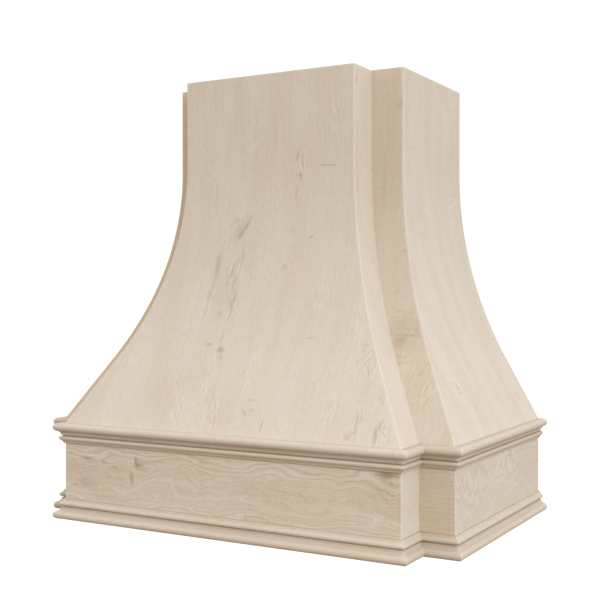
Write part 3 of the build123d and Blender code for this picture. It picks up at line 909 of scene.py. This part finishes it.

# %% [markdown]
# ## The outside pieces
#
# Every piece is now the same few steps: take the section, ease it, carry it along its bay, lay the
# sheet on it and dress it. A fourth UV map gives a painted highlight along each eased arris, partly
# sanded wear, and painted shade, partly dust, in the corners of a moulding. The left-hand pieces
# mirror the right-hand ones in shape, but their sheet is turned end for end, so that no mark is seen
# twice. Each one replaces the CAD piece of the same name.

# %% Sizes and finishes of the outside pieces
PANEL_ARRIS = 1.6 * MM
BOARD_ARRIS = 1.4 * MM
MOULDING_ARRIS = 1.2 * MM
EDGE_EASE = 0.8 * MM
MEMBER_EASE = 0.45 * MM
RUN_STEP = 12 * MM
# width of the painted highlight, partly sanded paleness, along an arris
HIGHLIGHT_AND_WEAR_WIDTH = 1.8 * MM

KINDS = {
    "panel": (panel_section, PANEL_ARRIS, EDGE_EASE, ROW, True, "body_veneer"),
    "apron_board": (board_section, BOARD_ARRIS, EDGE_EASE, ROW, False, "solid_wood"),
    "upper_moulding": (upper_section, MOULDING_ARRIS, MEMBER_EASE, RUN_STEP, False, "solid_wood"),
    "lower_moulding": (lower_section, MOULDING_ARRIS, MEMBER_EASE, RUN_STEP, False, "solid_wood"),
}
STRAY = {"panel": (3 * MM, 0.9), "apron_board": (4 * MM, 0.6)}
MOULDING_STRAY = (2 * MM, 0.7)
KNOTS = {
    "front_panel": FRONT_KNOTS,
    "side_panel": SIDE_KNOTS,
    "front_apron_board": APRON_KNOTS,
    "side_apron_board": APRON_SIDE_KNOTS,
}
MOULDING_DUST_AND_SHADE = [  # painted shade and dust: millimetres above the thin edge, share in the lower and in the upper moulding
    (0, 0.9, 0.6), (0.9, 0.5, 0.5), (1.5, 0.1, 0.2), (3.3, 0.05, 0.1), (3.7, 0.25, 0.15), (4.6, 0, 0),
    (13.8, 0, 0), (15.1, 0.3, 0.65), (17.2, 0.3, 0.65), (17.7, 0.15, 0.15), (19.3, 0.15, 0.15),
    (19.8, 0.5, 0.2), (20.5, 0.28, 0.05), (24.5, 0.22, 0), (26.5, 0, 0),
]
DUST_AND_SHADE_SHARE = {"front": 1.0, "return": 0.6, "strip": 1.0, "side": 0.6}  # of the shares of painted shade and dust above, for each bay
STICK_START = {"front": 0.0, "return": 2.1, "strip": 3.7, "side": 5.3}  # metres along one long tree
LOWER_STICK = 0.3  # metres across it, from the upper mouldings to the lower ones


def finish_for(kind, bay_name, hand):
    """Materials of the show face, of the sawn edges and of the two ends."""
    if kind == "panel":
        return OAKS.get(f"{hand}_{bay_name}", OAKS[bay_name]), PANEL_EDGE, PANEL_EDGE
    if kind == "apron_board":
        face = OAKS[f"apron_{bay_name}"]
    else:
        face = OAKS["front_moulding" if bay_name == "front" else "side_moulding"]
    return face, face, END_GRAIN


def corner_dust_and_shade(section, kind, bay_name):
    """Painted shade and dust at each point of a moulding, looked up by its height above the thin edge.
    """
    if not kind.endswith("moulding"):
        return np.zeros(len(section) + 1)
    heights, in_lower, in_upper = np.array(MOULDING_DUST_AND_SHADE).T
    upper = kind.startswith("upper")
    thin_edge = section[:, 1].min() if upper else section[:, 1].max()
    above = np.abs(section[:, 1] - thin_edge) / MM
    share = np.interp(above, heights, in_upper if upper else in_lower)
    return closed(share * section[:, 2] * DUST_AND_SHADE_SHARE[bay_name])


def arris_highlight_and_wear(points, section, bay, dust_and_shade):
    """Share of painted highlight, partly sanded wear: exp(-distance / its width) from an eased upright
    arris, on the show side only.

    The painted shade and dust of the moulding's corners go beside it, so that both reach the material
    in one map.
    """
    run = closed(points)[..., bay["run_axis"]]
    near_start = np.exp(-np.abs(run - run[:, :1]) / HIGHLIGHT_AND_WEAR_WIDTH) * bay["eased"][0]
    near_end = np.exp(-np.abs(run - run[:, -1:]) / HIGHLIGHT_AND_WEAR_WIDTH) * bay["eased"][1]
    highlight_and_wear = np.maximum(near_start, near_end) * closed(section[:, 2])[:, None]
    return np.stack([highlight_and_wear, np.broadcast_to(dust_and_shade[:, None], highlight_and_wear.shape)], axis=-1)


print("kinds of outside piece:", *KINDS)

# %% Build and dress the outside pieces


def outside_piece(kind, bay_name, hand):
    """One dressed outside piece, from its section to its place on the body."""
    draw_section, arris, ease, spacing, grain_upright, slot = KINDS[kind]
    bay = BAYS[bay_name]
    mirrored = hand == "left"
    section = eased(draw_section(), ease, apron_top if kind in ("panel", "upper_moulding") else None)
    points = swept(section, bay, arris, spacing)
    place = sheet_maps(points, section, bay, grain_upright, mirrored)
    if kind.endswith("moulding"):
        stick = LOWER_STICK if kind.startswith("lower") else 0
        place = place + np.array([stick, STICK_START[bay_name]])
    reach, length = STRAY.get(kind, MOULDING_STRAY)
    grain = parted(strayed(place, reach, length), place, KNOTS.get(f"{bay_name}_{kind}", []))
    depth = (1 - closed(section[:, 2])) * SKIN
    maps = {
        "place": place,
        "grain": grain,
        "edge": np.stack([np.broadcast_to(depth[:, None], place.shape[:2]), place[..., 0]], axis=-1),
        "wear_dust_and_painted_light": arris_highlight_and_wear(points, section, bay, corner_dust_and_shade(section, kind, bay_name)),
    }
    node = f"{hand}_{bay_name}_{kind}" if hand else f"{bay_name}_{kind}"
    materials = finish_for(kind, bay_name, hand)
    piece = build_piece(f"oak_{node}", points, section, maps, materials, mirrored)
    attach(piece, "root")
    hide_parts(node)
    return piece


outside = []
for kind in KINDS:
    for bay_name in BAYS:
        for hand in ("",) if bay_name == "front" else ("right", "left"):
            outside.append(outside_piece(kind, bay_name, hand))
print("outside pieces:", len(outside), "faces:", sum(len(piece.data.polygons) for piece in outside))

# %% [markdown]
# ## The frame inside
#
# Behind the skin, ribs, rails and ledges are cut from birch plywood, whose flat faces are plain
# veneer and whose edges show thirteen thin plies. One solid pattern does both: stripes stacked
# through the thickness. On a flat face the stripe is one colour all over, and on an edge the whole
# stack shows.

# %% Plywood, stacked along one axis
SHEET_PLIES = 13
AXES = "XYZ"
PLY_FIBRE = 3 * MM
PLY_FIBRE_LENGTH = 60 * MM
PLY_SHADE = 0.82, 1.08


def plywood(add, axis, low, high):
    """Birch plywood whose plies are stacked along one axis, from its lower to its upper face."""
    spot = add("TexCoord", [])["Object"]
    height = add("SeparateXYZ", [spot])[AXES[axis]]
    scaled = [height, 1 / (high - low), -low / (high - low)]
    depth = add("Math", scaled, operation="MULTIPLY_ADD")[0]
    stripes = ply_stripes(add, depth, SHEET_PLIES)
    stretch = [1 / PLY_FIBRE] * 3
    stretch[0 if axis else 2] = 1 / PLY_FIBRE_LENGTH
    along = add("Mapping", {"Vector": spot, "Scale": stretch})[0]
    fibres = add("TexNoise", {"Vector": along, "Scale": 1.0, "Detail": 3.0})["Fac"]
    shade = add("MapRange", [fibres, *USUAL_LEVELS, *PLY_SHADE])[0]
    return add("BsdfPrincipled", {
        "Base Color": add("VectorMath", {0: stripes, "Scale": shade}, operation="SCALE")[0],
        "Roughness": 0.7,
        "IOR": WOOD_IOR,
    })[0]


def dress(node, material):
    """Gives a CAD node one material, in the slots that it has."""
    for material_slot in node.material_slots:
        material_slot.material = material


print("plies in a rib:", SHEET_PLIES)

# %% Dress the ribs, rails and ledges
ply_materials = {}
dressed = 0
for name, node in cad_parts.items():
    if node.hide_render or name.endswith(("screws", "blocks")):
        continue
    low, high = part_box(name)
    sizes = [high[i] - low[i] for i in range(3)]
    axis = sizes.index(min(sizes))
    key = (axis, round(low[axis] / MM))
    if key not in ply_materials:
        title = f"birch_plywood_{AXES[axis].lower()}_{key[1]}"
        ply_materials[key] = new_material(title, plywood, axis, low[axis], high[axis])
    dress(node, ply_materials[key])
    dressed += 1
print("plywood pieces:", dressed, "in", len(ply_materials), "stacks")

# %% [markdown]
# ## Glue blocks and screws
#
# Three-cornered pine blocks are rubbed into the inside corners with glue, and zinc-plated countersunk
# screws hold the ribs. Both are small and seldom seen, so plain solid patterns are enough for them.

# %% Pine and zinc-plated steel
PINE_FIBRE = 2.5 * MM
PINE_FIBRE_LENGTH = 90 * MM
ZINC_CLOUD = 2 * MM
ZINC_ROUGHNESS = 0.28, 0.5


def pine(add):
    """Straight-grained pine with upright grain, in solid coordinates."""
    spot = add("TexCoord", [])["Object"]
    stretch = (1 / PINE_FIBRE, 1 / PINE_FIBRE, 1 / PINE_FIBRE_LENGTH)
    upright = add("Mapping", {"Vector": spot, "Scale": stretch})[0]
    fibres = add("TexNoise", {"Vector": upright, "Scale": 1.0, "Detail": 3.0})["Fac"]
    tones = {0: fibres, 6: linear("#E6CFA3"), 7: linear("#C79C66")}
    return add("BsdfPrincipled", {
        "Base Color": add("Mix", tones, **BLEND)[2],
        "Roughness": 0.7,
        "IOR": WOOD_IOR,
    })[0]


def zinc(add):
    """Zinc-plated steel: a bright, slightly clouded metal."""
    spot = add("TexCoord", [])["Object"]
    clouds = add("TexNoise", {"Vector": spot, "Scale": 1 / ZINC_CLOUD, "Detail": 2.0})["Fac"]
    return add("BsdfPrincipled", {
        "Base Color": linear("#C6C8CA"),
        "Metallic": 1.0,
        "Roughness": add("MapRange", [clouds, 0.0, 1.0, *ZINC_ROUGHNESS])[0],
    })[0]


SMALL_PARTS = {
    "blocks": new_material("pine_block", pine),
    "screws": new_material("zinc_plated_steel", zinc),
}
for ending, material in SMALL_PARTS.items():
    for name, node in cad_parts.items():
        if name.endswith(ending):
            dress(node, material)
            print(name, "gets", material.name)

# %% [markdown]
# ## Floor and light
#
# The cover hangs at its working height, so the floor lies well below it and only a soft warm bounce
# comes back up. A large soft light stands to the right, above and in front. The world is plain white
# all round, at the level at which a colour comes out about as it was picked. The floor is white only
# for the camera and for mirror rays, and for the light that falls on the wood it is much darker.

# %% The floor
HANGING_HEIGHT = 1.65  # from a kitchen floor to the bottom of the cover
FLOOR_REACH = 60.0
FLOOR_COLOUR = "#817159"  # of the light that it sends back up
FLOOR_LIFT = 0.95  # added where it is seen, so that it looks white but keeps a shadow


def plain_stage(name, points):
    """One flat face of the surroundings."""
    mesh = bpy.data.meshes.new(name)
    mesh.from_pydata(points, [], [(0, 1, 2, 3)])
    piece = bpy.data.objects.new(name, mesh)
    bpy.context.scene.collection.objects.link(piece)
    return piece


def seen_directly(add):
    """1 for rays that show the surface itself or its mirror image, 0 for rays that only carry light."""
    path = add("LightPath", [])
    mirrored = [path["Is Glossy Ray"], path["Is Transmission Ray"]]
    mirror = add("Math", mirrored, operation="MAXIMUM")[0]
    return add("Math", [path["Is Camera Ray"], mirror], operation="MAXIMUM")[0]


def pale_floor(add):
    """A matt floor that is lifted to white where it is seen, and keeps its shadow."""
    cloth = add("BsdfDiffuse", {"Color": linear(FLOOR_COLOUR)})[0]
    lift = add("Math", [seen_directly(add), FLOOR_LIFT], operation="MULTIPLY")[0]
    glow = add("Emission", {"Color": linear("#FFFFFF"), "Strength": lift})[0]
    return add("AddShader", [cloth, glow])[0]


corners = [(-1, -1), (1, -1), (1, 1), (-1, 1)]
floor = plain_stage("floor", [(x * FLOOR_REACH, y * FLOOR_REACH, -HANGING_HEIGHT) for x, y in corners])
floor.data.materials.append(new_material("pale_floor", pale_floor))
print("floor at", -HANGING_HEIGHT)

# %% The world and the lamp
WORLD_LEVEL = 1.10  # with the dark floor, about 1 on the wood
KEY_POWER = 101.0
KEY_SIZE = 3.0
KEY_PLACE = (4.32, -2.55, 1.49)
KEY_TARGET = (0.0, -0.25, 0.45)

world = bpy.data.worlds.new("studio")
world.use_nodes = True
bpy.context.scene.world = world
sky = world.node_tree
sky.nodes.clear()
air = add_node(sky, "Background", {"Color": linear("#FFFFFF"), "Strength": WORLD_LEVEL})[0]
add_node(sky, "OutputWorld", {"Surface": air})

key = bpy.data.lights.new("key", "AREA")
key.shape = "DISK"
key.size = KEY_SIZE
key.energy = KEY_POWER
key_lamp = bpy.data.objects.new("key", key)
key_lamp.location = KEY_PLACE
aim = np.array(KEY_TARGET) - np.array(KEY_PLACE)
turn = math.atan2(aim[0], -aim[1])
tilt = math.atan2(math.hypot(aim[0], aim[1]), -aim[2])
key_lamp.rotation_euler = (tilt, 0, turn + math.pi)
bpy.context.scene.collection.objects.link(key_lamp)
print(f"key lamp {np.linalg.norm(aim):.1f} m away")

# %% [markdown]
# ## Finish
#
# The view transform is set to Standard, so that a colour comes out as it was picked.

# %% Set the view transform
bpy.context.scene.view_settings.view_transform = "Standard"
